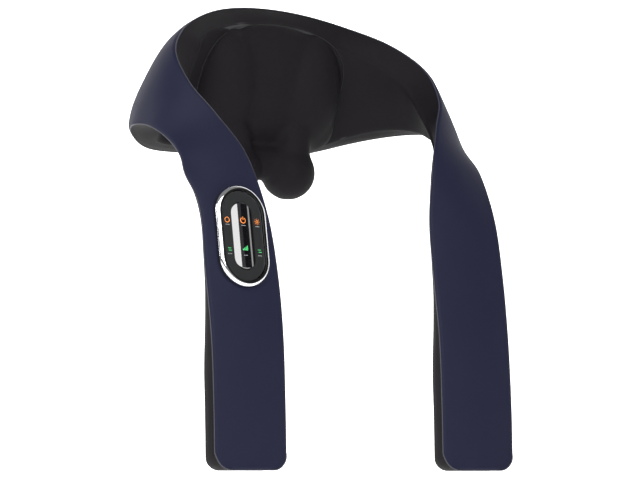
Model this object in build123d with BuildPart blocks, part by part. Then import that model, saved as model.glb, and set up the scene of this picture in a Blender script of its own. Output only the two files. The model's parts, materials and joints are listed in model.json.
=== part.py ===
"""Wearable shiatsu neck massager: a padded U-shaped band that lies over both shoulders.

Directions: +Z up, -Y forward (the way the wearer faces), +X to the wearer's left. Millimetres.
The band is described by two edge curves, both going from the middle of the back to the end of a
strap: the neck edge, which lies against the neck, and the shoulder edge, which lies outside it.
Their heights are counted from the strap ends; every part is saved with Z = 0 at the shoulders.
"""

import os
from math import acos, atan2, cos, degrees, exp, pi, radians, sin, sqrt, tan

from build123d import *

# ---------------------------------------------------------------- driving dimensions
REST_LEVEL = 335  # height of the shoulders' support above the strap ends
NECK_EDGE = [
    (0, 48, 471.5), (46, 42, 467.5), (88, 21, 455), (126, -6, 436.5), (150, -33, 410), (149, -60, 377),
    (131, -81, 346), (110.5, -104, 306), (95.5, -119, 249), (91.5, -132, 190), (91.5, -142, 130),
    (91.5, -146, 65), (91.5, -148, 0),
]
SHOULDER_EDGE = [
    (0, 90, 322), (64, 86, 326), (120, 70, 334), (160, 36, 337), (181.5, -4, 339), (183, -38, 335.5),
    (177, -66, 321), (176, -94, 298), (173, -122, 250), (174, -134, 192), (173, -144, 130),
    (173, -149, 65), (173, -151, 0),
]
LEFT_LIFT = 11.5  # the soft band's shoulder edge hangs this much higher on its left side
RIGHT_DROP = 9.5  # and this much lower behind its right shoulder
STRAP_THICKNESS = 20
YOKE_THICKNESS = 28
CROWN = 4  # how far the outer face rises above its two edges
BEVEL = 11  # how much narrower the inner face is at each side, down to the straight part of the straps
PINCH = (6, 4)  # the padding is this much narrower and thinner where the band turns down to the chest
SKIN = 1.6  # thickness of the outer leatherette and of the inner knit with its backing
END_CORNER = 17  # rounding of the strap ends
STRAP_JOIN = 7.5  # station at which the strap foam meets the yoke foam
SECTIONS_PER_SPAN = 2

DRIVE_SIZE = (112, 90)  # gearbox outline
DRIVE_CENTRE = (0, -10)
DRIVE_CORNER = 12
DRIVE_BACK = -19
DRIVE_SPLIT = -3.4
DRIVE_FRONT = 9
WALL = 2.4

MODULE = 1.5
PRESSURE_ANGLE = 25
ADDENDUM = 0.8
DEDENDUM = 1.1
BACKLASH = 0.25
REDUCTION_TEETH = 26
PINION_TEETH = 12
SECTOR_TEETH = 48
MOTOR_TEETH = 9
SECTOR_SPAN = 9  # teeth that each sector really has
FIRST_GEAR = (-2.8, 0.6)
SECOND_GEAR = (1.2, 5.6)
REDUCTION = (0, 4)
LEVER_X = 44
LEVER = (9.8, 13.8)
LEVER_SHAFT_RADIUS = 4
PIN_RADIUS = 2
RUNNING = 0.05  # radial clearance of a shaft in its bush
BUSH_WALL = 1.5
MOTOR_RADIUS = 15

PALM_LOW = (47, 8)
PALM_HIGH = (52, 28)
PALM_RADIUS = 10
THUMB = (34, -83, 18.6)
THUMB_RADIUS = 16

PANEL_AT = 8.48  # station of the control panel on the wearer's right strap
PANEL = (57, 100)
BEZEL_WIDTH = 5.2
RING_GAP = 0.5
CENTRE_KEY = (23, 66)
KEY_TOP = 4.6
KEY_CROWN_RADIUS = 22  # the centre key is arched across its width
KEY_TRAVEL = 0.6
BATTERY = (34, 52, 7)

os.makedirs("parts", exist_ok=True)


# ---------------------------------------------------------------- the band's geometry
def on_curve(points, u):
    """A smooth curve through the stations (Catmull-Rom), u counted in stations from the back."""
    mirrored = [Vector(-points[1][0], points[1][1], points[1][2])] + [Vector(*p) for p in points]
    mirrored.append(mirrored[-1] * 2 - mirrored[-2])
    i = min(int(u), len(points) - 2)
    t = u - i
    a, b, c, d = mirrored[i : i + 4]
    return (b * 2 + (c - a) * t + (a * 2 - b * 5 + c * 4 - d) * t**2 + (b * 3 - a - c * 3 + d) * t**3) * 0.5


def hang(u):
    """How much higher the soft band's shoulder edge hangs: more on the left, less on the right."""
    v = abs(u)
    if u > 0:
        return LEFT_LIFT * min(v, 1) * exp(-(((v - 3.1) / 1.4) ** 2))
    return -RIGHT_DROP * min(v, 1) * exp(-(((v - 2) / 0.85) ** 2))


def station(u):
    """Middle of the outer face's chord, across (to the neck edge), outward normal, half width at u."""
    side = -1 if u < 0 else 1
    v = abs(u)
    last = len(NECK_EDGE) - 1
    neck, shoulder = on_curve(NECK_EDGE, v), on_curve(SHOULDER_EDGE, v) + Vector(0, 0, hang(u))
    step = 0.05 if v < last - 0.05 else -0.05
    ahead = (on_curve(NECK_EDGE, v + step) + on_curve(SHOULDER_EDGE, v + step) - neck - shoulder) * (1 / step)
    across = (neck - shoulder).normalized()
    outward = across.cross(ahead).normalized()
    middle = (neck + shoulder) * 0.5
    if side < 0:
        middle, across, outward = (Vector(-p.X, p.Y, p.Z) for p in (middle, across, outward))
    return middle, across, outward, (neck - shoulder).length / 2


def pinch(u):
    """1 where the band turns from the shoulder down to the chest, 0 elsewhere."""
    return exp(-(((abs(u) - 6) / 0.75) ** 2))


def thickness(u):
    """Padding depth: thick behind the neck, thinner from the shoulder down."""
    blend = min(max((abs(u) - 2) / 6, 0), 1)
    blend = blend * blend * (3 - 2 * blend)
    return YOKE_THICKNESS + (STRAP_THICKNESS - YOKE_THICKNESS) * blend - PINCH[1] * pinch(u)


def outline_at(u, points):
    """A closed face across the band; each point is (w, n), and a triple starts an arc by its middle."""
    middle, across, outward, _ = station(u)

    def at(w, n):
        return middle + across * w + outward * n

    edges = []
    for start, end in zip(points, points[1:] + points[:1]):
        if len(end) == 3:
            bow = at((start[0] + end[0]) / 2, (start[1] + end[1]) / 2 + end[2])
            edges.append(Edge.make_three_point_arc(at(*start[:2]), bow, at(*end[:2])))
        else:
            edges.append(Edge.make_line(at(*start[:2]), at(*end)))
    return Face(Wire(edges))


def bevel(u):
    """How far the inner face's edges stand in from the outer face's: nothing at the strap ends."""
    blend = min(max((abs(u) - 8.5) / 2.2, 0), 1)
    return BEVEL * (1 - blend * blend * (3 - 2 * blend)) + PINCH[0] * pinch(u)


def corners(u):
    """Half widths of the cover and of the padding, outside and inside, and their depths."""
    width, depth, slope = station(u)[3], thickness(u), bevel(u)
    shoulder = width - slope * SKIN / depth
    return width, shoulder, width - slope, depth, width - SKIN, width - SKIN - slope, depth - SKIN


def whole(u):
    w, _, low, d, *_ = corners(u)
    return outline_at(u, [(-w, 0), (w, 0, CROWN), (low, -d), (-low, -d, -0.5)])


def core(u):
    """The padding inside both covers."""
    *_, w, low, d = corners(u)
    return outline_at(u, [(-w, -SKIN), (w, -SKIN, CROWN), (low, -d), (-low, -d, -0.5)])


def outer_layer(u):
    w, v, *_ = corners(u)
    return outline_at(u, [(-w, 0), (w, 0, CROWN), (v, -SKIN), (-v, -SKIN, CROWN)])


def inner_layer(u):
    """The knit cover: both side walls and the inner face."""
    _, v, low, d, w, core_low, e = corners(u)
    half = [(-v, -SKIN), (-w, -SKIN), (-core_low, -e)]
    other = [(core_low, -e, -0.5), (w, -SKIN), (v, -SKIN)]
    return outline_at(u, half + other + [(low, -d), (-low, -d, -0.5)])


def spring_strip(u):
    n = -thickness(u) / 2
    return outline_at(u, [(0, n), (14, n), (14, n - 1.2), (0, n - 1.2)])


def ribbon(layer, first, last):
    """A solid through the layer's outlines between two stations."""
    count = round((last - first) * SECTIONS_PER_SPAN)
    return loft([layer(first + (last - first) * k / count) for k in range(count + 1)], ruled=True)


def strap_end(inset):
    """What is taken off the strap ends to round their corners, and to shorten them by the inset."""
    with BuildPart() as waste:
        for side in (-1, 1):
            middle = side * (NECK_EDGE[-1][0] + SHOULDER_EDGE[-1][0]) / 2
            width = SHOULDER_EDGE[-1][0] - NECK_EDGE[-1][0] - 2 * inset
            with BuildSketch(Plane.XZ.offset(110)):
                with Locations((middle, 15)):
                    Rectangle(width + 30, 50)
                with Locations((middle, 50 + inset)):
                    RectangleRounded(width, 100, END_CORNER - inset, mode=Mode.SUBTRACT)
            extrude(amount=60)
    return waste.part


# ---------------------------------------------------------------- planes of the drive, panel and battery
END = len(NECK_EDGE) - 1
SIDES = {"left": 1, "right": -1}
MIDDLE, _, BACKWARD, _ = station(0)
BACKWARD = Vector(0, BACKWARD.Y, BACKWARD.Z).normalized()
drive = Plane(origin=MIDDLE - BACKWARD * YOKE_THICKNESS, x_dir=(1, 0, 0), z_dir=-BACKWARD)
PANEL_MIDDLE, PANEL_ACROSS, PANEL_OUT, _ = station(-PANEL_AT)
panel = Plane(origin=PANEL_MIDDLE + PANEL_OUT * (CROWN + 0.2), x_dir=PANEL_ACROSS, z_dir=PANEL_OUT)
CELL_MIDDLE, CELL_ACROSS, CELL_OUT, _ = station(PANEL_AT)
cell_plane = Plane(origin=CELL_MIDDLE - CELL_OUT * 2.5, x_dir=CELL_ACROSS, z_dir=CELL_OUT)


def save(part, name):
    """Write one named part, with the origin moved to the middle of the shoulders' support."""
    placed = Part(part.moved(Location((0, 0, -REST_LEVEL))).wrapped)
    placed.label = name
    export_step(placed, f"parts/{name}.step")


def prism(plane, low, high, *shapes):
    """Flat shapes given as (maker, x, y), joined and extruded between two heights over the plane."""
    with BuildPart() as made:
        with BuildSketch(plane.offset(low)):
            for shape, x, y in shapes:
                with Locations((x, y)):
                    shape()
        extrude(amount=high - low)
    return made.part


def circle(radius):
    return lambda: Circle(radius)


def rounded(width, height, corner):
    return lambda: RectangleRounded(width, height, corner)


def stadium(width, height):
    return lambda: SlotOverall(height, width, rotation=90)


def rod(plane, x, y, radius, low, high):
    return prism(plane, low, high, (circle(radius), x, y))


def ball(plane, x, y, z, radius):
    return Pos(*plane.from_local_coords(Vector(x, y, z))) * Sphere(radius)


def capsule(plane, start, end, radius):
    """A rod with round ends between two points of the plane's frame."""
    a, b = plane.from_local_coords(Vector(*start)), plane.from_local_coords(Vector(*end))
    with BuildPart() as made:
        with BuildSketch(Plane(origin=a, z_dir=b - a)):
            Circle(radius)
        extrude(amount=(b - a).length)
        with Locations(a, b):
            Sphere(radius)
    return made.part


def hull_plate(plane, low, high, circles):
    """A flat arm: the outline wrapped round some circles, extruded."""
    with BuildPart() as made:
        with BuildSketch(plane.offset(low)):
            for x, y, radius in circles:
                with Locations((x, y)):
                    Circle(radius)
            make_hull()
        extrude(amount=high - low)
    return made.part


# ---------------------------------------------------------------- gears
def involute(angle):
    return tan(angle) - angle


def tooth(teeth, at_angle):
    """One tooth's points, from root to tip and back to root, about the gear's own centre."""
    pitch = MODULE * teeth / 2
    base = pitch * cos(radians(PRESSURE_ANGLE))
    tip, root = pitch + ADDENDUM * MODULE, pitch - DEDENDUM * MODULE
    half = (pi * MODULE / 2 - BACKLASH) / 2 / pitch + involute(radians(PRESSURE_ANGLE))
    flank = [(root, half)] if root < base else []
    low = max(root, base)
    for k in range(6):
        radius = low + (tip - low) * k / 5
        flank.append((radius, half - involute(acos(min(base / radius, 1)))))
    both = [(r, a) for r, a in flank] + [(r, -a) for r, a in reversed(flank)]
    return [(r * cos(at_angle - a), r * sin(at_angle - a)) for r, a in both]


def toothed(teeth, centre, phase, heights, kept=None):
    """A spur gear, or a sector of it with only the kept teeth, on the drive plane."""
    count = kept if kept else teeth
    points = []
    for k in range(count):
        points += tooth(teeth, radians(phase) + 2 * pi / teeth * (k - (count - 1) / 2 if kept else k))
    if kept:
        points.append((0, 0))
    with BuildPart() as made:
        with BuildSketch(drive.offset(heights[0])):
            with Locations(centre):
                Polygon(*points, align=None)
                if kept:
                    Circle(9)
        extrude(amount=heights[1] - heights[0])
    return made.part


def meshing_phase(teeth, other_teeth, other_phase, direction):
    """Where a gear's tooth stands so that it meshes with another one lying opposite the direction."""
    return direction + 180 + (direction - other_phase) * other_teeth / teeth + 180 / teeth


CENTRES = MODULE * (SECTOR_TEETH + PINION_TEETH) / 2
LEVER_Y = REDUCTION[1] - sqrt(CENTRES**2 - LEVER_X**2)
MOTOR = (0, REDUCTION[1] - MODULE * (REDUCTION_TEETH + MOTOR_TEETH) / 2)
PINION_PHASE = 90


# ---------------------------------------------------------------- massage pad over the heads
def pad_envelope(shrink):
    """A shallow dome, an upper lobe and a lower pouch on each side, made smaller by shrink."""
    x, y, z = THUMB
    made = drive.location * Pos(0, 0, 1) * scale(Sphere(1), by=(93 - shrink, 68 - shrink, 23 - shrink))
    for side in SIDES.values():
        lobe = scale(Sphere(1), by=(38 - shrink, 62 - shrink, 28 - shrink))
        made += drive.location * Pos(side * 50, -2, 2) * lobe
        made += capsule(drive, (side * 42, -44, 12), (side * x, y, z), 21 - shrink)
        made += ball(drive, side * x, y, z, 27 - shrink)
    made += capsule(drive, (-x, y + 12, z - 5), (x, y + 12, z - 5), 17 - shrink)
    return made


# ---------------------------------------------------------------- soft parts
band = ribbon(whole, -END, END)
end_waste = strap_end(0)
core_waste = strap_end(SKIN)
drive_room = rounded(DRIVE_SIZE[0] + 2, DRIVE_SIZE[1] + 2, DRIVE_CORNER + 1)
cavity = prism(drive, DRIVE_BACK - 0.6, 60, (drive_room, *DRIVE_CENTRE))
lever_room = prism(drive, 6, 60, (rounded(130, 134, 12), 0, -22))
panel_hole = prism(panel, -12, 30, (stadium(PANEL[0] - 1.2, PANEL[1] - 1.2), 0, 0))
battery_box = [BATTERY[0] + 7, BATTERY[1] + 11, BATTERY[2] + 4]
battery_pocket = prism(
    cell_plane, -battery_box[2] - 0.4, 0.4, (rounded(battery_box[0] + 0.8, battery_box[1] + 0.8, 4.4), 0, 0)
)


def wire_run(first, last, w, radius):
    """A round cable along the band's middle depth between two stations."""
    points = []
    for k in range(9):
        middle, across, outward, _ = station(first + (last - first) * k / 8)
        points.append(middle + across * w - outward * thickness(first + (last - first) * k / 8) * 0.5)
    path = Spline(*points)
    return sweep(Plane(origin=path @ 0, z_dir=path % 0) * Circle(radius), path=path)


RUNS = {"control_cable": (-1.45, -7.45), "battery_cable": (1.45, 7.45), "charging_cable": (-9.45, -11.7)}
wire_channels = {name: wire_run(first, last, -8, 2.0) for name, (first, last) in RUNS.items()}
springs = {name: ribbon(spring_strip, *sorted((side * 1.5, side * 7.2))) for name, side in SIDES.items()}

port_middle = Vector(-(NECK_EDGE[-1][0] + SHOULDER_EDGE[-1][0]) / 2, -140.5, 0)
port_plane = Plane(origin=port_middle, x_dir=(1, 0, 0), z_dir=(0, 0, -1))
port_hole = prism(port_plane, -12, 5, (rounded(15, 8, 3.5), 0, 0))

yoke_foam = ribbon(core, -STRAP_JOIN, STRAP_JOIN) - cavity - lever_room
for hollow in (*springs.values(), wire_channels["control_cable"], wire_channels["battery_cable"]):
    yoke_foam -= hollow
save(yoke_foam, "yoke_foam")
right_foam = ribbon(core, -END, -STRAP_JOIN) - core_waste - panel_hole - port_hole
right_foam -= wire_channels["charging_cable"]
save(right_foam, "right_strap_foam")
left_foam = ribbon(core, STRAP_JOIN, END) - core_waste - battery_pocket
save(left_foam, "left_strap_foam")
for name, spring in springs.items():
    save(spring, f"{name}_shaping_spring")
for name, (first, last) in RUNS.items():
    save(wire_run(first, last, -8, 1.5), name)

save(ribbon(outer_layer, -END, END) - end_waste - panel_hole, "outer_cover")
end_caps = (ribbon(core, -END, -END + 1) + ribbon(core, END - 1, END)) & core_waste
inner_cover = ribbon(inner_layer, -END, END) - end_waste - cavity - lever_room
inner_cover = inner_cover + (end_caps - end_waste) - port_hole
save(inner_cover, "inner_cover")
pad_shell = pad_envelope(0) - pad_envelope(2.2) - band
save(max(pad_shell.solids(), key=lambda s: s.volume), "massage_pad_cover")


# ---------------------------------------------------------------- gearbox and motor
SCREW_SPOTS = [(x, y) for x in (-48, 48) for y in (-47, 27)]
SHAFT_SPOTS = [(side * LEVER_X, LEVER_Y) for side in SIDES.values()]
FLOOR = DRIVE_BACK + WALL
FRONT_WALL = DRIVE_FRONT - WALL
BUSH_RADIUS = LEVER_SHAFT_RADIUS + BUSH_WALL
MOTOR_TOP = FIRST_GEAR[0] - 1.2
BOARD = (44, 20)
BOARD_AT = (0, 21)
BOARD_LEVEL = -12


def shell_half(low, high, inner_low, inner_high):
    outside = prism(drive, low, high, (rounded(*DRIVE_SIZE, DRIVE_CORNER), *DRIVE_CENTRE))
    inside = rounded(DRIVE_SIZE[0] - 2 * WALL, DRIVE_SIZE[1] - 2 * WALL, DRIVE_CORNER - WALL)
    return outside - prism(drive, inner_low, inner_high, (inside, *DRIVE_CENTRE))


rear = shell_half(DRIVE_BACK, DRIVE_SPLIT, FLOOR, DRIVE_SPLIT)
front = shell_half(DRIVE_SPLIT, DRIVE_FRONT, DRIVE_SPLIT, FRONT_WALL)
for spot in SCREW_SPOTS:
    rear += rod(drive, *spot, 4.5, FLOOR - 0.5, DRIVE_SPLIT)
    front += rod(drive, *spot, 4.5, DRIVE_SPLIT, FRONT_WALL + 0.5)
    rear -= rod(drive, *spot, 1.55, DRIVE_SPLIT - 9.2, DRIVE_SPLIT)
    front -= rod(drive, *spot, 1.7, DRIVE_SPLIT, DRIVE_FRONT)
    front -= rod(drive, *spot, 3.1, DRIVE_FRONT - 2, DRIVE_FRONT)
for spot in SHAFT_SPOTS:
    rear += rod(drive, *spot, BUSH_RADIUS + 2, FLOOR - 0.5, FIRST_GEAR[0])
    rear -= rod(drive, *spot, BUSH_RADIUS, FLOOR + 2, FIRST_GEAR[0])
    front -= rod(drive, *spot, BUSH_RADIUS, FRONT_WALL, DRIVE_FRONT)
rear += rod(drive, *REDUCTION, 4.2, FLOOR - 0.5, FIRST_GEAR[0] - 0.6)
rear -= rod(drive, *REDUCTION, PIN_RADIUS, FLOOR + 2, FIRST_GEAR[0] - 0.6)
front += rod(drive, *REDUCTION, 4.2, SECOND_GEAR[1] + 0.4, FRONT_WALL + 0.5)
front -= rod(drive, *REDUCTION, PIN_RADIUS, SECOND_GEAR[1] + 0.4, FRONT_WALL + 1)
motor_mount = rod(drive, *MOTOR, MOTOR_RADIUS + 2, FLOOR - 0.5, MOTOR_TOP - 5)
rear += motor_mount - rod(drive, *MOTOR, MOTOR_RADIUS, FLOOR, MOTOR_TOP)
rear -= rod(drive, *REDUCTION, PIN_RADIUS, FLOOR + 2, FIRST_GEAR[0] - 0.6)
for x in (-18, 18):
    rear += rod(drive, BOARD_AT[0] + x, BOARD_AT[1], 2.2, FLOOR - 0.5, BOARD_LEVEL)
for x in (-30, 30):
    cable_slot = (rounded(6, 14, 1.4), x, DRIVE_CENTRE[1] + DRIVE_SIZE[1] / 2)
    front -= prism(drive, DRIVE_SPLIT, DRIVE_SPLIT + 3, cable_slot)
save(rear, "gearbox_rear_housing")
save(front, "gearbox_front_housing")

screws = [
    rod(drive, *spot, 1.55, DRIVE_SPLIT - 9, DRIVE_FRONT - 2)
    + rod(drive, *spot, 2.9, DRIVE_FRONT - 2, DRIVE_FRONT - 0.2)
    - prism(drive, DRIVE_FRONT - 1.2, DRIVE_FRONT, (lambda: RegularPolygon(1.3, 6), *spot))
    for spot in SCREW_SPOTS
]
save(Part(Compound(children=[Solid(s.solid().wrapped) for s in screws]).wrapped), "housing_screws")

bushes = []
for spot in SHAFT_SPOTS:
    bore = rod(drive, *spot, LEVER_SHAFT_RADIUS + RUNNING, DRIVE_BACK, DRIVE_FRONT + 1)
    bushes.append(rod(drive, *spot, BUSH_RADIUS, FLOOR + 2, FIRST_GEAR[0]) - bore)
    bushes.append(rod(drive, *spot, BUSH_RADIUS, FRONT_WALL, DRIVE_FRONT) - bore)
save(Part(Compound(children=[Solid(b.solid().wrapped) for b in bushes]).wrapped), "lever_bushes")

motor_can = rod(drive, *MOTOR, MOTOR_RADIUS - 0.1, FLOOR, MOTOR_TOP)
motor_can = fillet(motor_can.edges().filter_by(GeomType.CIRCLE), 0.8)
motor_can -= rod(drive, *MOTOR, 1.5 + RUNNING, FLOOR + 1.5, MOTOR_TOP)
save(motor_can, "motor")
motor_phase = meshing_phase(MOTOR_TEETH, REDUCTION_TEETH, 90, -90)
motor_gear = toothed(MOTOR_TEETH, MOTOR, motor_phase, FIRST_GEAR)
save(motor_gear + rod(drive, *MOTOR, 1.5, FLOOR + 2, FIRST_GEAR[1] + 1), "motor_shaft_gear")

pinion = toothed(PINION_TEETH, REDUCTION, PINION_PHASE, (FIRST_GEAR[1], SECOND_GEAR[1]))
reduction_gear = toothed(REDUCTION_TEETH, REDUCTION, 90, FIRST_GEAR) + pinion
save(reduction_gear - rod(drive, *REDUCTION, PIN_RADIUS + RUNNING, DRIVE_BACK, DRIVE_FRONT), "reduction_gear")
save(rod(drive, *REDUCTION, PIN_RADIUS, FLOOR + 2, FRONT_WALL + 1), "reduction_pin")

for name, side in SIDES.items():
    pivot = (side * LEVER_X, LEVER_Y)
    shaft = rod(drive, *pivot, LEVER_SHAFT_RADIUS, FLOOR + 2.4, LEVER[1])
    save(shaft, f"{name}_lever_shaft")
    away = degrees(atan2(pivot[1] - REDUCTION[1], pivot[0] - REDUCTION[0]))
    phase = meshing_phase(SECTOR_TEETH, PINION_TEETH, PINION_PHASE, away)
    pitch_angle = 360 / SECTOR_TEETH
    phase += round((away + 180 - phase) / pitch_angle) * pitch_angle
    sector = toothed(SECTOR_TEETH, pivot, phase, SECOND_GEAR, SECTOR_SPAN)
    save(sector - shaft, f"{name}_sector_gear")
    arm = hull_plate(drive, *LEVER, [(*pivot, 10), (side * PALM_HIGH[0], PALM_HIGH[1], 7)])
    arm += hull_plate(drive, *LEVER, [(*pivot, 10), (side * THUMB[0], THUMB[1] + 6, 7)])
    arm += rod(drive, side * THUMB[0], THUMB[1] + 2, 5, LEVER[0], THUMB[2])
    save(arm - shaft, f"{name}_lever")
    low, high = ((side * x, y, LEVER[1]) for x, y in (PALM_LOW, PALM_HIGH))
    above = prism(drive, LEVER[1], 60, (rounded(80, 80, 1), *low[:2]))
    save(capsule(drive, low, high, PALM_RADIUS) & above, f"{name}_palm_head")
    save(ball(drive, side * THUMB[0], THUMB[1], THUMB[2], THUMB_RADIUS) - arm, f"{name}_thumb_head")

board = prism(drive, BOARD_LEVEL, BOARD_LEVEL + 1.2, (rounded(*BOARD, 1.5), *BOARD_AT))
for x, w, h, high in ((-12, 9, 9, 1.4), (2, 6, 6, 1.2), (13, 5, 8, 3)):
    block = (rounded(w, h, 0.5), x, BOARD_AT[1] + 1)
    board += prism(drive, BOARD_LEVEL + 1.1, BOARD_LEVEL + 1.2 + high, block)
save(board, "main_board")
heater = prism(drive, DRIVE_FRONT, DRIVE_FRONT + 0.4, (rounded(40, 30, 6), 0, 8))
save(heater, "heating_film")


# ---------------------------------------------------------------- control panel
INNER = (PANEL[0] - 2 * BEZEL_WIDTH, PANEL[1] - 2 * BEZEL_WIDTH)
RING = (INNER[0] - 2 * RING_GAP, INNER[1] - 2 * RING_GAP)
HOLE = (CENTRE_KEY[0] + 2 * RING_GAP, CENTRE_KEY[1] + 2 * RING_GAP)
TRAY = (PANEL[0] - 2, PANEL[1] - 2)
TRAY_WALL = 2
TRAY_FLOOR = -9.6
PCB = (-5.8, -4.6)
SWITCH_TOP = -2.0
PIVOT_LEVEL = -2.4
PIVOT_RADIUS = 1
KEY_SWITCHES = [(0, -24), (0, 24)]
RING_SWITCHES = [(-17, -16), (17, -16), (-17, 16), (17, 16)]

tray = prism(panel, TRAY_FLOOR, 0.8, (stadium(*TRAY), 0, 0))
tray -= prism(panel, TRAY_FLOOR + 1.6, 0.8, (stadium(TRAY[0] - 2 * TRAY_WALL, TRAY[1] - 2 * TRAY_WALL), 0, 0))
for x, y in ((-13, -32), (13, -32), (-13, 32), (13, 32)):
    tray += rod(panel, x, y, 2.5, TRAY_FLOOR + 1, PCB[0])
for x in (-9, 9):
    tray += prism(panel, TRAY_FLOOR + 1, PIVOT_LEVEL + 1.9, (rounded(3, 5, 0.6), x, 0))
pivot_middle = panel.from_local_coords(Vector(0, 0, PIVOT_LEVEL))
pivot_axis = Plane(origin=pivot_middle, x_dir=panel.y_dir, z_dir=panel.x_dir)
tray -= rod(pivot_axis, 0, 0, PIVOT_RADIUS, -11, 11)
tray -= prism(panel, TRAY_FLOOR, TRAY_FLOOR + 2, (circle(2.6), 0, -40))
save(tray, "panel_tray")

pcb = prism(panel, *PCB, (stadium(TRAY[0] - 2 * TRAY_WALL - 1, TRAY[1] - 2 * TRAY_WALL - 1), 0, 0))
for x in (-9, 9):
    pcb -= prism(panel, PCB[0], PCB[1], (rounded(4, 6, 0.8), x, 0))
save(pcb, "control_board")
switches = [
    prism(panel, PCB[1], SWITCH_TOP - 0.7, (rounded(6, 6, 0.5), *spot))
    + rod(panel, *spot, 1.6, PCB[1], SWITCH_TOP)
    for spot in KEY_SWITCHES + RING_SWITCHES
]
save(Part(Compound(children=[Solid(s.solid().wrapped) for s in switches]).wrapped), "tactile_switches")
save(rod(pivot_axis, 0, 0, PIVOT_RADIUS, -10.5, 10.5), "key_pivot_pin")

def lens(plane, low, high, size, edge):
    """A stadium plate with the rim of its upper face rounded over."""
    plate = prism(plane, low, high, (stadium(*size), 0, 0))
    top = [e for e in plate.edges() if plane.to_local_coords(e.center()).Z > high - 0.01]
    return fillet(top, edge)


bezel = lens(panel, 0.8, 4.4, PANEL, 3.5) - prism(panel, 0, 5, (stadium(*INNER), 0, 0))
save(bezel, "chrome_bezel")
ring = lens(panel, 0.8, 2.9, RING, 0.6) - prism(panel, 0, 5, (stadium(*HOLE), 0, 0))
for spot in RING_SWITCHES:
    ring += rod(panel, *spot, 1.5, SWITCH_TOP + KEY_TRAVEL + 0.1, 1)
save(ring, "ring_key")
crown_middle = panel.from_local_coords(Vector(0, -60, KEY_TOP - KEY_CROWN_RADIUS))
crown = rod(Plane(origin=crown_middle, x_dir=panel.x_dir, z_dir=panel.y_dir), 0, 0, KEY_CROWN_RADIUS, 0, 120)
key = lens(panel, 0.8, KEY_TOP, CENTRE_KEY, 1.8) & crown
for x, y in KEY_SWITCHES:
    key += rod(panel, x, y, 1.5, SWITCH_TOP + 1.3, 1)
key += prism(panel, PIVOT_LEVEL - 2, 1, (rounded(12, 4.4, 0.8), 0, 0))
key -= rod(pivot_axis, 0, 0, PIVOT_RADIUS + RUNNING, -8, 8)
save(key, "centre_key")


# ---------------------------------------------------------------- battery and charging port
BOX_WALL = 1.4
room = [battery_box[0] - 2 * BOX_WALL, battery_box[1] - 2 * BOX_WALL]
case = prism(cell_plane, -battery_box[2], 0, (rounded(*battery_box[:2], 4), 0, 0))
case -= prism(cell_plane, -battery_box[2] + BOX_WALL, 0, (rounded(*room, 2.6), 0, 0))
save(case, "battery_case")
lid = prism(cell_plane, -BOX_WALL, 0, (rounded(room[0] - 0.2, room[1] - 0.2, 2.5), 0, 0))
save(lid, "battery_lid")
bottom = -battery_box[2] + BOX_WALL
cell = prism(cell_plane, bottom, bottom + BATTERY[2], (rounded(BATTERY[0], BATTERY[1], 2), 0, -2.5))
save(cell, "battery_cell")
guard = prism(cell_plane, bottom, bottom + 1, (rounded(BATTERY[0] - 4, 4, 0.5), 0, BATTERY[1] / 2 + 0.5))
guard += prism(cell_plane, bottom + 0.9, bottom + 2.2, (rounded(5, 2.5, 0.3), 4, BATTERY[1] / 2 + 0.5))
save(guard, "battery_guard_board")

port_frame = prism(port_plane, -9, 0.6, (rounded(15, 8, 3.5), 0, 0))
port_frame -= prism(port_plane, -9, 1, (rounded(9.4, 3.8, 1.8), 0, 0))
save(port_frame, "charging_port_frame")
port_shell = prism(port_plane, -8.4, 0, (rounded(9.2, 3.6, 1.7), 0, 0))
port_shell -= prism(port_plane, -7.4, 0, (rounded(8.4, 2.8, 1.35), 0, 0))
port_shell += prism(port_plane, -7.6, -1, (rounded(6.6, 0.7, 0.3), 0, 0))
save(port_shell, "charging_port")
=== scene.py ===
"""Shiatsu neck massager: soft covers, pad, icons, finishes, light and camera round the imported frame."""

import json
import math

import bmesh
import bpy
import numpy as np
from mathutils import Matrix, Vector, noise
from mathutils.bvhtree import BVHTree


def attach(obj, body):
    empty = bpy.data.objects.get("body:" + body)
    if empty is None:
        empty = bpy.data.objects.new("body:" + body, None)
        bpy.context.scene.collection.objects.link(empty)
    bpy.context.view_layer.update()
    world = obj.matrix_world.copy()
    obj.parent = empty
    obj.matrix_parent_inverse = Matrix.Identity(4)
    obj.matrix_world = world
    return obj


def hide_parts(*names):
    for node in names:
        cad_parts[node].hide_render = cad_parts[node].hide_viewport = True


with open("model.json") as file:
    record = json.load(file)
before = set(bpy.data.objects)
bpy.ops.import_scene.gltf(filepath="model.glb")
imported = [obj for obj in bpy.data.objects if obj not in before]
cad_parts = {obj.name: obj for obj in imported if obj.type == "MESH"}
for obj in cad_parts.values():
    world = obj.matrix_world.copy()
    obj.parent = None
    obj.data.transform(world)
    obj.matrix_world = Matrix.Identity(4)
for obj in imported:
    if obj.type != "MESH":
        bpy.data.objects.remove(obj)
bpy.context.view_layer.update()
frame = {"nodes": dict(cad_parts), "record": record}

# ---------------------------------------------------------------- the band, as in the CAD source (mm)
REST_LEVEL = 335
NECK_EDGE = [
    (0, 48, 471.5), (46, 42, 467.5), (88, 21, 455), (126, -6, 436.5), (150, -33, 410), (149, -60, 377),
    (131, -81, 346), (110.5, -104, 306), (95.5, -119, 249), (91.5, -132, 190), (91.5, -142, 130),
    (91.5, -146, 65), (91.5, -148, 0),
]
SHOULDER_EDGE = [
    (0, 90, 322), (64, 86, 326), (120, 70, 334), (160, 36, 337), (181.5, -4, 339), (183, -38, 335.5),
    (177, -66, 321), (176, -94, 298), (173, -122, 250), (174, -134, 192), (173, -144, 130),
    (173, -149, 65), (173, -151, 0),
]
END = len(NECK_EDGE) - 1
LAST_STEP = 65  # between the last two stations, along the strap
LEFT_LIFT = 11.5
RIGHT_DROP = 9.5
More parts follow.
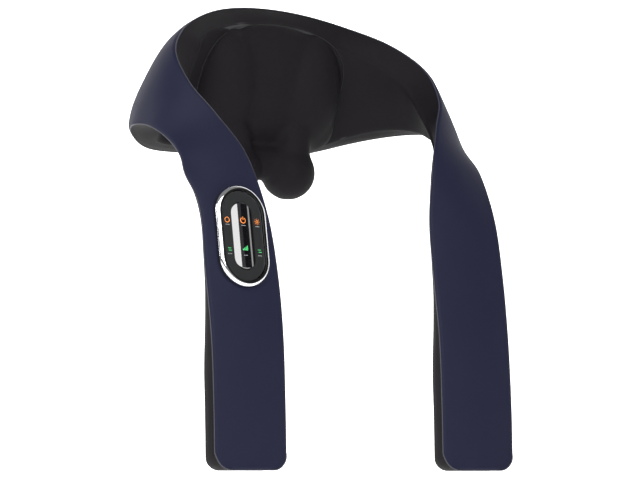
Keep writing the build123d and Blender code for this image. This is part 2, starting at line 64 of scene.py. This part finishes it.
PINCH = (6, 4)  # at the fold: how much the bevel grows and the thickness shrinks
STRAP_THICKNESS = 20
YOKE_THICKNESS = 28
CROWN = 4
BEVEL = 11
END_CORNER = 17
EDGE_ROLL = 2.4
INNER_ROLL = 4.5
ROLL_DEPTH = 0.8
PANEL_AT = 8.48
COVER_SKIN = 1.1
WALL_BULGE = 1.3
OUTER_RIPPLE = (34, 0.55, 3)  # size of the waves, their height and a seed
INNER_RIPPLE = (30, 0.6, 9)
WALL_RIPPLE = (22, 0.35, 5)
PAD_RIPPLE = (16, 0.00035, 7)


def on_curve(points, u):
    """A smooth curve through the points; its tangent at the first one lies straight across the middle."""
    pts = [Vector((-points[1][0], points[1][1], points[1][2]))] + [Vector(p) for p in points]
    pts.append(pts[-1] * 2 - pts[-2])
    i = min(int(u), len(points) - 2)
    t = u - i
    a, b, c, d = pts[i : i + 4]
    return (b * 2 + (c - a) * t + (a * 2 - b * 5 + c * 4 - d) * t**2 + (b * 3 - a - c * 3 + d) * t**3) * 0.5


def bell(u, centre, width):
    return math.exp(-(((u - centre) / width) ** 2))


def hang(u):
    """How much higher the soft band's shoulder edge hangs: more on the left, less on the right."""
    if u > 0:
        return LEFT_LIFT * min(u, 1) * bell(u, 3.1, 1.4)
    return -RIGHT_DROP * min(-u, 1) * bell(u, -2, 0.85)


def station(u):
    """Middle of the outer chord, across, outward and half width at a station."""
    v = abs(u)
    neck, shoulder = on_curve(NECK_EDGE, v), on_curve(SHOULDER_EDGE, v) + Vector((0, 0, hang(u)))
    step = 0.05 if v < END - 0.05 else -0.05
    ahead = (on_curve(NECK_EDGE, v + step) + on_curve(SHOULDER_EDGE, v + step) - neck - shoulder) / step
    across = (neck - shoulder).normalized()
    outward = across.cross(ahead).normalized()
    middle = (neck + shoulder) * 0.5
    if u < 0:
        middle, across, outward = (Vector((-p.x, p.y, p.z)) for p in (middle, across, outward))
    return middle, across, outward, (neck - shoulder).length / 2


def thickness(u):
    blend = min(max((abs(u) - 2) / 6, 0), 1)
    blend = blend * blend * (3 - 2 * blend)
    return YOKE_THICKNESS + (STRAP_THICKNESS - YOKE_THICKNESS) * blend - PINCH[1] * bell(abs(u), 6, 0.75)


def bevel(u):
    """How far the inner face's edges stand in from the outer face's: nothing at the strap ends."""
    blend = min(max((abs(u) - 8.5) / 2.2, 0), 1)
    return BEVEL * (1 - blend * blend * (3 - 2 * blend)) + PINCH[0] * bell(abs(u), 6, 0.75)


def fullness(u, s):
    """How far the outer cover stands off its chord, at s from the shoulder edge (-1) to the neck edge (1)."""
    shoulder = 9 * bell(u, -2.6, 0.9) + 8 * bell(u, 2, 0.9)
    return CROWN * (1 - s**2) + shoulder * (1 - s**4)


def wrinkle(u):
    """A soft swelling of the right strap's outer edge below the shoulder."""
    return 4 * bell(u, -7.36, 0.3)


def inner_lift(u):
    """How far the inner cover stands off the padding: more at the folds, sunk behind the levers."""
    return 0.7 + 1.8 * bell(abs(u), 4.8, 1.5) - 2.3 * bell(abs(u), 0.9, 0.6)


def metres(p):
    """A point in mm above the foot of the straps, as a place in the frame."""
    return Vector((p[0], p[1], p[2] - REST_LEVEL)) * 0.001


middle, _, backward, _ = station(0)
backward = Vector((0, backward.y, backward.z)).normalized()
DRIVE = Matrix.Translation(middle - backward * YOKE_THICKNESS) @ Matrix(
    (Vector((1, 0, 0)), (-backward).cross(Vector((1, 0, 0))), -backward)
).transposed().to_4x4()
middle, across, outward, _ = station(-PANEL_AT)
PANEL = Matrix.Translation(middle + outward * (CROWN + 0.2)) @ Matrix(
    (across, outward.cross(across), outward)
).transposed().to_4x4()


# ---------------------------------------------------------------- materials
def material(name, colour, rough, metal=0.0, coat=0.0, glow=None, specular=0.5):
    mat = bpy.data.materials.new(name)
    mat.use_nodes = True
    shader = mat.node_tree.nodes["Principled BSDF"]
    shader.inputs["Base Color"].default_value = (*colour, 1)
    shader.inputs["Roughness"].default_value = rough
    shader.inputs["Metallic"].default_value = metal
    shader.inputs["Specular IOR Level"].default_value = specular
    shader.inputs["Coat Weight"].default_value = coat
    if glow:
        shader.inputs["Emission Color"].default_value = (*glow[0], 1)
        shader.inputs["Emission Strength"].default_value = glow[1]
    return mat


def bumpy(mat, scale, strength, distance=0.0004, weave=False):
    """Adds a fine procedural surface: leather-like grain, or a knit of small crossed ribs."""
    tree = mat.node_tree
    shader = tree.nodes["Principled BSDF"]
    coords = tree.nodes.new("ShaderNodeTexCoord")
    bump = tree.nodes.new("ShaderNodeBump")
    bump.inputs["Strength"].default_value = strength
    bump.inputs["Distance"].default_value = distance
    if weave:
        waves = []
        for direction in ("X", "Z"):
            wave = tree.nodes.new("ShaderNodeTexWave")
            wave.bands_direction = direction
            wave.inputs["Scale"].default_value = scale
            wave.inputs["Distortion"].default_value = 1.2
            tree.links.new(coords.outputs["Object"], wave.inputs["Vector"])
            waves.append(wave)
        mix = tree.nodes.new("ShaderNodeMath")
        mix.operation = "MULTIPLY"
        tree.links.new(waves[0].outputs["Fac"], mix.inputs[0])
        tree.links.new(waves[1].outputs["Fac"], mix.inputs[1])
        tree.links.new(mix.outputs["Value"], bump.inputs["Height"])
    else:
        grain = tree.nodes.new("ShaderNodeTexNoise")
        grain.inputs["Scale"].default_value = scale
        grain.inputs["Detail"].default_value = 3
        tree.links.new(coords.outputs["Object"], grain.inputs["Vector"])
        tree.links.new(grain.outputs["Fac"], bump.inputs["Height"])
    tree.links.new(bump.outputs["Normal"], shader.inputs["Normal"])
    return mat


NAVY = material("navy_leatherette", (0.0062, 0.0068, 0.0195), 0.6, specular=0.12)
NAVY = bumpy(NAVY, 1500, 0.35, 0.0003)
KNIT = material("black_knit", (0.0062, 0.0053, 0.0063), 0.68, specular=0.07)
KNIT = bumpy(KNIT, 420, 0.5, 0.0003, weave=True)
# The piping is a real edge binding; its colour, lighter than the navy, is a painted highlight along the rim.
PIPING_PAINTED_HIGHLIGHT = bumpy(material("edge_piping_painted_highlight", (0.02, 0.021, 0.032), 0.55), 900, 0.3)
SEAM = bumpy(material("pad_seam", (0.0095, 0.009, 0.0095), 0.6, specular=0.2), 900, 0.3)
FOAM = bumpy(material("foam", (0.018, 0.018, 0.02), 0.95), 700, 0.8, 0.0006)
# The orange and green icons are printed; their emission is a painted glow that brightens them, not a lamp.
ORANGE = material("icon_orange", (0.75, 0.22, 0.04), 0.4, glow=((1.0, 0.28, 0.05), 0.36))
GREEN = material("icon_green", (0.05, 0.4, 0.12), 0.4, glow=((0.08, 0.7, 0.2), 0.32))
GREY = material("mark_grey", (0.32, 0.32, 0.33), 0.5)
GLOSS = material("gloss_black", (0.003, 0.003, 0.004), 0.05, coat=1, specular=1.0)
FINISHES = {
    "foam": FOAM,
    "spring_steel": bumpy(material("spring_steel", (0.4, 0.4, 0.42), 0.35, 1), 300, 0.1),
    "steel": bumpy(material("steel", (0.5, 0.5, 0.52), 0.3, 1), 400, 0.08),
    "abs_grey": bumpy(material("abs_grey", (0.16, 0.16, 0.17), 0.55), 1800, 0.2),
    "acetal": bumpy(material("acetal", (0.76, 0.75, 0.7), 0.4), 500, 0.05),
    "bronze": bumpy(material("bronze", (0.5, 0.33, 0.15), 0.45, 1), 900, 0.2),
    "soft_head": bumpy(material("soft_head", (0.05, 0.05, 0.055), 0.7), 1200, 0.2),
    "charcoal": bumpy(material("charcoal", (0.009, 0.0095, 0.01), 0.4, specular=0.3), 2600, 0.12),
    "gloss_black": bumpy(GLOSS, 60, 0.01),
    "chrome": bumpy(material("chrome", (0.82, 0.82, 0.84), 0.06, 1), 40, 0.01),
    "board": bumpy(material("board", (0.02, 0.11, 0.06), 0.45), 700, 0.1),
    "board_parts": bumpy(material("board_parts", (0.03, 0.03, 0.03), 0.5), 900, 0.1),
    "film": bumpy(material("film", (0.5, 0.24, 0.04), 0.35), 500, 0.1),
    "cable": bumpy(material("cable", (0.012, 0.012, 0.013), 0.6), 1200, 0.2),
    "cell_wrap": bumpy(material("cell_wrap", (0.5, 0.52, 0.55), 0.35, 0.3), 300, 0.15),
    "port_steel": bumpy(material("port_steel", (0.55, 0.55, 0.57), 0.3, 1), 500, 0.05),
}
for entry in frame["record"]["subparts"]:
    node = frame["nodes"][entry["node"]]
    finish = FINISHES.get(entry["material_slot"])
    if finish:
        node.data.materials.clear()
        node.data.materials.append(finish)


# ---------------------------------------------------------------- mesh helpers
def link(name, data):
    """Puts an object with this mesh, light or camera into the scene."""
    obj = bpy.data.objects.new(name, data)
    bpy.context.scene.collection.objects.link(obj)
    return obj


def new_object(name, verts, faces, mat, smooth=True):
    """An object of this mesh, with this material."""
    mesh = bpy.data.meshes.new(name)
    mesh.from_pydata([tuple(v) for v in verts], [], faces)
    mesh.update()
    mesh.materials.append(mat)
    for polygon in mesh.polygons:
        polygon.use_smooth = smooth
    obj = link(name, mesh)
    return obj


def grid_faces(rows, cols, offset=0, flip=False, closed=False):
    """Four-sided faces between the points of a grid, whose rows can be closed rings."""
    faces = []
    for i in range(rows - 1):
        here = offset + i * cols
        for j in range(cols if closed else cols - 1):
            k = (j + 1) % cols
            quad = (here + j, here + cols + j, here + cols + k, here + k)
            faces.append(quad[::-1] if flip else quad)
    return faces


def ring_tube(name, path, radius, mat, sides=8):
    """A round strand along a closed ring of points, in metres."""
    verts, count = [], len(path)
    up = Vector((0.13, 0.21, 0.97))
    for i, p in enumerate(path):
        ahead = (path[(i + 1) % count] - path[i - 1]).normalized()
        up = (up - ahead * up.dot(ahead)).normalized()
        side = ahead.cross(up)
        for k in range(sides):
            a = 2 * math.pi * k / sides
            verts.append(p + (up * math.cos(a) + side * math.sin(a)) * radius)
    faces = grid_faces(count, sides, closed=True)
    last = (count - 1) * sides
    faces += [(last + k, k, (k + 1) % sides, last + (k + 1) % sides) for k in range(sides)]
    return new_object(name, verts, faces, mat)


def ripple(p, size, amount, seed):
    """A small seeded unevenness, as soft covers have."""
    return noise.noise(Vector(p) / size + Vector((seed, seed * 0.37, 0))) * amount


# ---------------------------------------------------------------- covers of the band
END_LENGTH = (metres(NECK_EDGE[-1]) - metres(NECK_EDGE[-2])).length * 1000
END_PART = 0.35
END_ROWS = 22


def row_stations():
    """Stations from one strap end to the other, closer together where the ends are rounded."""
    rows = list(np.linspace(0, END - END_PART, 250))
    for k in range(END_ROWS):
        along = END_PART * END_LENGTH * (1 - math.sin(math.pi / 2 * (k + 1) / END_ROWS))
        rows.append(END - along / END_LENGTH)
    return [-u for u in reversed(rows[1:])] + rows


def end_narrowing(u):
    """How much each edge steps in where the strap's end corners are rounded."""
    left = (END - abs(u)) * END_LENGTH
    if left >= END_CORNER:
        return 0.0
    return END_CORNER - math.sqrt(max(END_CORNER**2 - (END_CORNER - left) ** 2, 0))


COLUMNS = [math.sin(math.pi / 2 * s) for s in np.linspace(-1, 1, 37)]
ROWS = row_stations()


def band_grids():
    """Rows of points (mm) on the outer and on the inner face, from one strap end to the other."""
    outer, inner = [], []
    for u in ROWS:
        mid, acr, out, half = station(u)
        reach = half - end_narrowing(u)
        depth = thickness(u)
        outer_row, inner_row = [], []
        for s in COLUMNS:
            w = s * reach
            rim = max(1 - (half - abs(w)) / EDGE_ROLL, 0)
            near_end = max(1 - (END - abs(u)) * LAST_STEP / EDGE_ROLL, 0)
            roll = 1 - math.sqrt(max(1 - min(max(rim, near_end if abs(s) < 1 else 0), 1) ** 2, 0))
            crown = fullness(u, w / half)
            w -= wrinkle(u) * max(-s, 0) ** 3
            p = mid + acr * w + out * (crown - roll * EDGE_ROLL * ROLL_DEPTH)
            outer_row.append(p + out * ripple(p, *OUTER_RIPPLE) * min(1, (half - abs(w)) / 8))
            w = s * (reach - bevel(u))
            low = half - bevel(u)
            rim = max(1 - (low - abs(w)) / INNER_ROLL, 0)
            roll = (1 - math.sqrt(max(1 - rim**2, 0))) * INNER_ROLL * ROLL_DEPTH
            q = mid + acr * w - out * (depth + inner_lift(u) - roll)
            inner_row.append(q - out * ripple(q, *INNER_RIPPLE) * min(1, (low - abs(w)) / 10))
        outer.append(outer_row)
        inner.append(inner_row)
    return outer, inner


def edge_loop(grid):
    """The outline of a grid: one long edge, an end, the other long edge and the other end."""
    rows, cols = len(grid), len(grid[0])
    loop = [(i, cols - 1) for i in range(rows)]
    loop += [(rows - 1, j) for j in range(cols - 2, 0, -1)]
    loop += [(i, 0) for i in range(rows - 1, -1, -1)]
    return loop + [(0, j) for j in range(1, cols - 1)]


outer_grid, inner_grid = band_grids()
rows, cols = len(outer_grid), len(COLUMNS)
outer_verts = [metres(p) for row in outer_grid for p in row]
under_verts = [metres(p - station(u)[2] * COVER_SKIN) for u, row in zip(ROWS, outer_grid) for p in row]
loop = edge_loop(outer_grid)
faces = grid_faces(rows, cols) + grid_faces(rows, cols, rows * cols, flip=True)
index = [i * cols + j for i, j in loop]
for a, b in zip(index, index[1:] + index[:1]):
    faces.append((b, a, a + rows * cols, b + rows * cols))
outer_cover = new_object("outer_cover_soft", outer_verts + under_verts, faces, NAVY)

WALL_RINGS = 9
wall = []
for k in range(WALL_RINGS):
    t = k / (WALL_RINGS - 1)
    for i, j in loop:
        top, low = outer_grid[i][j], inner_grid[i][j]
        mid, _, out, _ = station(ROWS[i])
        sideways = (top - mid) - out * (top - mid).dot(out)
        sideways = sideways.normalized()
        bulge = math.sin(math.pi * t) * (WALL_BULGE + ripple(top + (low - top) * t, *WALL_RIPPLE))
        wall.append(metres(top + (low - top) * (0.02 + 0.98 * t) + sideways * bulge))
inner_verts = [metres(p) for row in inner_grid for p in row]
faces = grid_faces(rows, cols, flip=True)
ring = len(loop)
for k in range(WALL_RINGS - 1):
    here = rows * cols + k * ring
    for n in range(ring):
        m = (n + 1) % ring
        faces.append((here + n, here + m, here + ring + m, here + ring + n))
last = rows * cols + (WALL_RINGS - 1) * ring
for n in range(ring):
    m = (n + 1) % ring
    faces.append((last + n, last + m, index[m], index[n]))
inner_cover = new_object("inner_cover_soft", inner_verts + wall, faces, KNIT)
tidy = bmesh.new()
tidy.from_mesh(inner_cover.data)
bmesh.ops.remove_doubles(tidy, verts=tidy.verts, dist=0.00002)
bmesh.ops.recalc_face_normals(tidy, faces=tidy.faces)
tidy.to_mesh(inner_cover.data)
tidy.free()

edge_path = []
for i, j in loop:
    p = outer_grid[i][j]
    if not edge_path or (metres(p) - edge_path[-1]).length > 0.0008:
        edge_path.append(metres(p))
# The lighter piping along the band's rim carries a painted highlight.
piping = ring_tube("edge_piping_painted_highlight", edge_path, 0.00055, PIPING_PAINTED_HIGHLIGHT)


# ---------------------------------------------------------------- massage pad
def drive_point(x, y, z):
    """A place given in the drive's own axes (mm): to the side, up, and forward to the wearer's neck."""
    return metres(DRIVE @ Vector((x, y, z)))


def blob(mesh, centre, radii):
    """Adds an egg shape to a mesh, in the drive's own axes (mm)."""
    scale = Matrix.Diagonal((*[r * 0.001 for r in radii], 1))
    turn = DRIVE.to_3x3().to_4x4()
    place = Matrix.Translation(drive_point(*centre)) @ turn @ scale
    bmesh.ops.create_uvsphere(mesh, u_segments=40, v_segments=24, radius=1, matrix=place)


THUMB = (33, -83, 18.6)
CHAIN = 9  # egg shapes in a row along an arm or the web


def pad_form():
    """The pad's smooth closed form: a low cushion, two lobes, and two arms that end in thumb pouches."""
    shape = bmesh.new()
    blob(shape, (0, 0, 1), (92, 67, 23))
    for side in (-1, 1):
        blob(shape, (side * 50, -2, 2), (39, 63, 28.5))
        blob(shape, (side * 62, -36, 2), (27, 27, 18))
        for k in range(CHAIN):
            t = k / (CHAIN - 1)
            blob(shape, (side * (37 - 4 * t), -44 - 39 * t, 12 + 6.6 * t), (18 + 3 * t,) * 3)
        blob(shape, (side * THUMB[0], THUMB[1], THUMB[2]), (28, 28, 28))
    for k in range(CHAIN):
        blob(shape, (-32 + 8 * k, -75, 14), (18, 18, 18))
    mesh = bpy.data.meshes.new("pad_shape")
    shape.to_mesh(mesh)
    shape.free()
    pad = link("pad_shape", mesh)
    remesh = pad.modifiers.new("remesh", "REMESH")
    remesh.mode = "VOXEL"
    remesh.voxel_size = 0.0022
    soften = pad.modifiers.new("soften", "SMOOTH")
    soften.factor = 0.9
    soften.iterations = 16
    form = bpy.data.meshes.new_from_object(pad.evaluated_get(bpy.context.evaluated_depsgraph_get()))
    bpy.data.objects.remove(pad)
    return form

inner_tree = BVHTree.FromPolygons([Vector(v) for v in inner_verts], grid_faces(rows, cols))
toward_back = (DRIVE.to_3x3() @ Vector((0, 0, -1))).normalized()
WELL_IN_FRONT = 0.2
BURIED = 0.004  # deeper than this under the inner cover (m), the pad's form is cut away
FARTHEST_BACK = -14  # and outside the band's outline, behind this level (mm)


def cut_away(vert):
    hit, _, _, distance = inner_tree.ray_cast(vert.co - toward_back * WELL_IN_FRONT, toward_back)
    if hit:
        return distance - WELL_IN_FRONT < -BURIED
    return (DRIVE.inverted() @ (vert.co * 1000 + Vector((0, 0, REST_LEVEL)))).z < FARTHEST_BACK


solid = pad_form()
shell = bmesh.new()
shell.from_mesh(solid)
bmesh.ops.delete(shell, geom=[vert for vert in shell.verts if cut_away(vert)], context="VERTS")
for vert in shell.verts:
    vert.co += vert.normal * ripple(vert.co * 1000, *PAD_RIPPLE)
shell.to_mesh(solid)
shell.free()
pad_cover = link("massage_pad_soft", solid)
solid.materials.clear()
solid.materials.append(KNIT)
for polygon in solid.polygons:
    polygon.use_smooth = True
wall_thickness = pad_cover.modifiers.new("thickness", "SOLIDIFY")
wall_thickness.thickness = 0.0018
wall_thickness.offset = -1

SEAM_HALVES = (87, 65)
SEAM_POWER = 0.75  # below 1, the seam's oval is fuller at its corners
SEAM_POINTS = 160
seam_path = []
for k in range(SEAM_POINTS):
    a = 2 * math.pi * k / SEAM_POINTS
    turn = (math.cos(a), math.sin(a))
    x, y = (half * math.copysign(abs(c) ** SEAM_POWER, c) for half, c in zip(SEAM_HALVES, turn))
    hit, _, _, _ = inner_tree.ray_cast(drive_point(x, y, 60), toward_back)
    if hit:
        seam_path.append(hit - toward_back * 0.0004)
pad_seam = ring_tube("pad_seam", seam_path, 0.00045, SEAM)


# ---------------------------------------------------------------- icons on the control panel
def flat_mark(name, shapes, level, mat, body, slot="charcoal", arch=0.0):
    """Thin printed marks, the orange and green ones with a painted glow from their material: each shape is a
    closed list of (x, y) in mm on the panel.
    """
    verts, faces = [], []
    for shape_points in shapes:
        n = len(shape_points)
        start = len(verts)
        for z in (level, level + 0.08):
            for x, y in shape_points:
                drop = arch - math.sqrt(arch**2 - x**2) if arch else 0
                verts.append(metres(PANEL @ Vector((x, y, z - drop))))
        faces.append(tuple(range(start + n - 1, start - 1, -1)))
        faces.append(tuple(range(start + n, start + 2 * n)))
        faces += [(start + k, start + (k + 1) % n, start + n + (k + 1) % n, start + n + k) for k in range(n)]
    mark = new_object(name, verts, faces, mat, smooth=False)
    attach(mark, body)


def placed(corners, x, y, turn):
    """The corners turned by an angle in degrees and moved to (x, y)."""
    c, s = math.cos(math.radians(turn)), math.sin(math.radians(turn))
    return [(x + a * c - b * s, y + a * s + b * c) for a, b in corners]


def rectangle(w, h):
    return [(-w / 2, -h / 2), (w / 2, -h / 2), (w / 2, h / 2), (-w / 2, h / 2)]


def arc_band(x, y, radius, width, start, end, steps=20):
    angles = [math.radians(start + (end - start) * k / steps) for k in range(steps + 1)]
    edges = (radius + width / 2, radius - width / 2)
    outside, inside = ([(x + r * math.cos(a), y + r * math.sin(a)) for a in angles] for r in edges)
    return outside + inside[::-1]


def bar(x, y, w, h, turn=0.0):
    return placed(rectangle(w, h), x, y, turn)


def arrow_head(x, y, size, turn):
    return placed([(size, 0), (-size * 0.5, size * 0.8), (-size * 0.5, -size * 0.8)], x, y, turn)


RING_LEVEL = 2.91
KEY_LEVEL = 4.6
KEY_ARCH = 22.0
RING_X = 17.2
UPPER_Y = 15
LOWER_Y = -14
ON_KEY = ("centre_key", "gloss_black", KEY_ARCH)
turn_icon = [arc_band(-RING_X, UPPER_Y, 2.5, 0.5, start, start + 145) for start in (20, 200)]
turn_icon += [arrow_head(-RING_X + side * 2.5, UPPER_Y - side * 0.2, 0.8, side * 90) for side in (-1, 1)]
heat_icon = [arc_band(RING_X, UPPER_Y, 1.25, 0.42, 0, 359, 30)]
for k in range(8):
    a = math.radians(45 * k)
    heat_icon.append(bar(RING_X + 2.75 * math.cos(a), UPPER_Y + 2.75 * math.sin(a), 0.9, 0.36, 45 * k))
flat_mark("ring_icons_orange", turn_icon + heat_icon, RING_LEVEL, ORANGE, "ring_key")
power = [arc_band(0, UPPER_Y, 2.7, 0.6, 120, 420), bar(0, UPPER_Y + 2, 0.6, 3.0)]
flat_mark("key_power_icon", power, KEY_LEVEL, ORANGE, *ON_KEY)
steps = ((0, 1.1), (0.6, -1.1))
dashes = [bar(side * RING_X + dx, LOWER_Y + dy, 3.4, 0.5) for side in (-1, 1) for dx, dy in steps]
flat_mark("ring_icons_green", dashes, RING_LEVEL, GREEN, "ring_key")
signal = [bar(-2.4 + 1.6 * k, LOWER_Y + 0.55 * k, 0.9, 1.4 + 1.1 * k) for k in range(4)]
flat_mark("key_signal_icon", signal, KEY_LEVEL, GREEN, *ON_KEY)
DASH_X = (-1.6, 0, 1.6)
under_ring = [(side * RING_X, y) for side in (-1, 1) for y in (10.3, -18.6)]
legend = [bar(x + d, y, 1.1, 0.5) for x, y in under_ring for d in DASH_X]
flat_mark("ring_legends", legend, RING_LEVEL, GREY, "ring_key")
legend = [bar(d, y, 1.1, 0.5) for y in (9.9, -19.6) for d in DASH_X]
flat_mark("key_legends", legend, KEY_LEVEL, GREY, *ON_KEY)


# ---------------------------------------------------------------- what rides where
for soft in (outer_cover, inner_cover, piping, pad_cover, pad_seam):
    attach(soft, "massager")
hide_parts("outer_cover")
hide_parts("inner_cover")
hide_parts("massage_pad_cover")


# ---------------------------------------------------------------- floor, light and camera
AZIMUTH, ELEVATION, DISTANCE = math.radians(-33), math.radians(-3.8), 3.6
aside = Vector((math.cos(AZIMUTH), math.sin(AZIMUTH), 0))
forward = Vector((-math.sin(AZIMUTH), math.cos(AZIMUTH), 0))
aim = Vector((0, -0.03, -0.105)) + aside * 0.0187

white = bumpy(material("backdrop", (0.93, 0.93, 0.93), 0.9, glow=((1, 1, 1), 1.0)), 3, 0.02)
FLOOR_LEVEL = -0.62
SWEEP = 1.2  # radius of the backdrop's bend
quarter = np.linspace(0, math.pi / 2, 24)
profile = [(-6.0, 0.0)]
profile += [(SWEEP * math.sin(a) + 1.6, SWEEP - SWEEP * math.cos(a)) for a in quarter]
profile += [(2.8, 6.0)]
verts = []
for x in (-9, 9):
    verts += [aside * x + forward * depth + Vector((0, 0, FLOOR_LEVEL + height)) for depth, height in profile]
studio_floor = new_object("studio_floor", verts, grid_faces(2, len(profile)), white)

centre = Vector((0, -0.03, -0.1))


def facing_centre(place):
    return (centre - place).to_track_quat("-Z", "Y")


def area_light(name, away, width, height, power_w):
    """A rectangular lamp, placed away from the object's centre and turned to it."""
    data = bpy.data.lights.new(name, "AREA")
    data.shape = "RECTANGLE"
    data.size, data.size_y = width, height
    data.energy = power_w
    light = link(name, data)
    light.location = centre + Vector(away)
    light.rotation_euler = facing_centre(light.location).to_euler()


area_light("key", (-1.75, 1.2, 0.75), 1.0, 1.0, 27)
area_light("fill", (0.4, -2.6, -0.5), 1.4, 1.4, 2.5)
area_light("softbox", (-0.65, -1.15, 0.8), 2.0, 1.1, 44)


def dark_card(name, away, width, height):
    """A black card far beside the object, for the dark side of its polished parts."""
    place = centre + Vector(away)
    turn = facing_centre(place).to_matrix()
    corners = [place + turn @ Vector((*corner, 0)) for corner in rectangle(width, height)]
    card = new_object(name, corners, [(0, 1, 2, 3)], FINISHES["cable"], smooth=False)


dark_card("dark_card", (11.2, -2.6, 4.8), 22.0, 9.0)
world = bpy.data.worlds.new("studio")
world.use_nodes = True
world.node_tree.nodes["Background"].inputs["Color"].default_value = (1, 1, 1, 1)
world.node_tree.nodes["Background"].inputs["Strength"].default_value = 0.25
bpy.context.scene.world = world
bpy.context.scene.view_settings.view_transform = "Standard"

camera_data = bpy.data.cameras.new("camera")
camera_data.sensor_width = 36
camera_data.lens = 202.5
camera_data.clip_end = 60
camera = link("camera", camera_data)
camera.location = aim - forward * DISTANCE * math.cos(ELEVATION)
camera.location.z += DISTANCE * math.sin(ELEVATION)
camera.rotation_euler = (aim - camera.location).to_track_quat("-Z", "Y").to_euler()
bpy.context.scene.camera = camera
